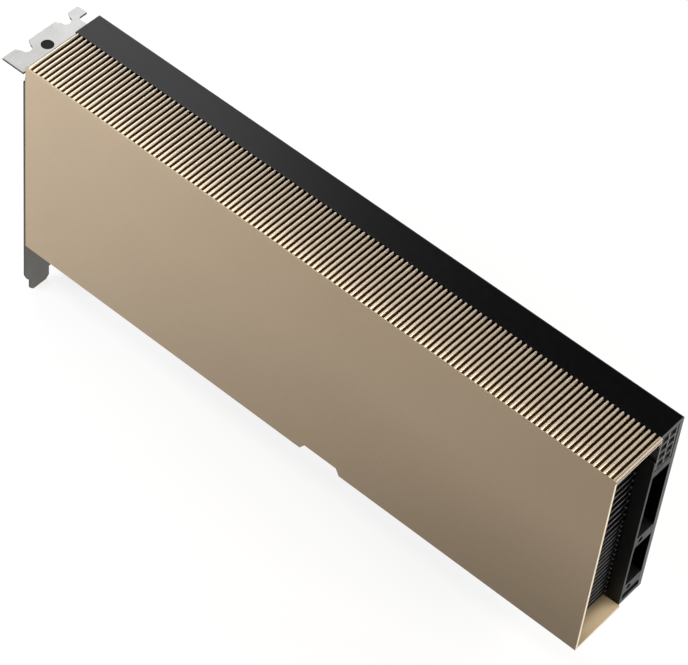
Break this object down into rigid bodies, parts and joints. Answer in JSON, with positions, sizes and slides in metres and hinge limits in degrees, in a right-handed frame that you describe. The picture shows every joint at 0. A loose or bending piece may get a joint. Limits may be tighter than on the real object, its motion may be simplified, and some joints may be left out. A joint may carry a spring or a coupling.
{
  "type": "passive accelerator card",
  "caption": "Full-height double-slot expansion card: ribbed metal shroud as an air duct over a finned heatsink, black back cover, rear power socket, end bracket, card-edge tongue.",
  "frame": {"origin": "centre of the key notch in the card-edge tongue, on the board's mid-plane, at the tongue's lower edge", "axes": "+X from the bracket towards the rear end with the power socket, +Y from the component side towards the back cover, +Z away from the system board"},
  "size_m": [0.2791, 0.0389, 0.1239],
  "materials": {
    "board": "satin solder mask",
    "contact_plating": "gold plated",
    "shroud_metal": "satin gold anodised",
    "cover_metal": "satin black anodised",
    "film": "matt",
    "baffle_metal": "satin black anodised",
    "frame_metal": "fine matt black coat",
    "socket_plastic": "moulded matt",
    "pin_plating": "tin plated",
    "bracket_steel": "satin nickel plated",
    "insert_plastic": "moulded",
    "heatsink_metal": "black anodised",
    "chip_resin": "moulded matt",
    "soft_pad": "matt",
    "choke_body": "pressed powder",
    "capacitor_body": "moulded",
    "crystal_can": "plated",
    "screw_steel": "black zinc",
    "carrier": "satin laminate",
    "silicon": "polished",
    "paste": "paste"
  },
  "bodies": {
    "root": {"circuit_board": "board", "front_contacts": "contact_plating", "rear_contacts": "contact_plating", "shroud": "shroud_metal", "back_cover": "cover_metal", "insulating_film": "film", "lower_air_baffle": "baffle_metal", "rear_frame": "frame_metal", "power_socket": "socket_plastic", "power_pins": "pin_plating", "io_bracket": "bracket_steel", "flange_insert": "insert_plastic", "heatsink_base": "heatsink_metal", "cooling_fins": "heatsink_metal", "switch_chip": "chip_resin", "switch_pad": "soft_pad", "chokes": "choke_body", "power_stages": "chip_resin", "supply_capacitors": "capacitor_body", "firmware_chip": "chip_resin", "clock_crystal": "crystal_can", "cooler_screws": "screw_steel", "bracket_screws": "screw_steel", "frame_screws": "screw_steel", "shroud_screws": "screw_steel", "processor_carrier_1": "carrier", "processor_die_1": "silicon", "thermal_paste_1": "paste", "memory_chips_1": "chip_resin", "memory_pads_1": "soft_pad", "processor_carrier_2": "carrier", "processor_die_2": "silicon", "thermal_paste_2": "paste", "memory_chips_2": "chip_resin", "memory_pads_2": "soft_pad", "processor_carrier_3": "carrier", "processor_die_3": "silicon", "thermal_paste_3": "paste", "memory_chips_3": "chip_resin", "memory_pads_3": "soft_pad", "processor_carrier_4": "carrier", "processor_die_4": "silicon", "thermal_paste_4": "paste", "memory_chips_4": "chip_resin", "memory_pads_4": "soft_pad"}
  },
  "joints": []
}
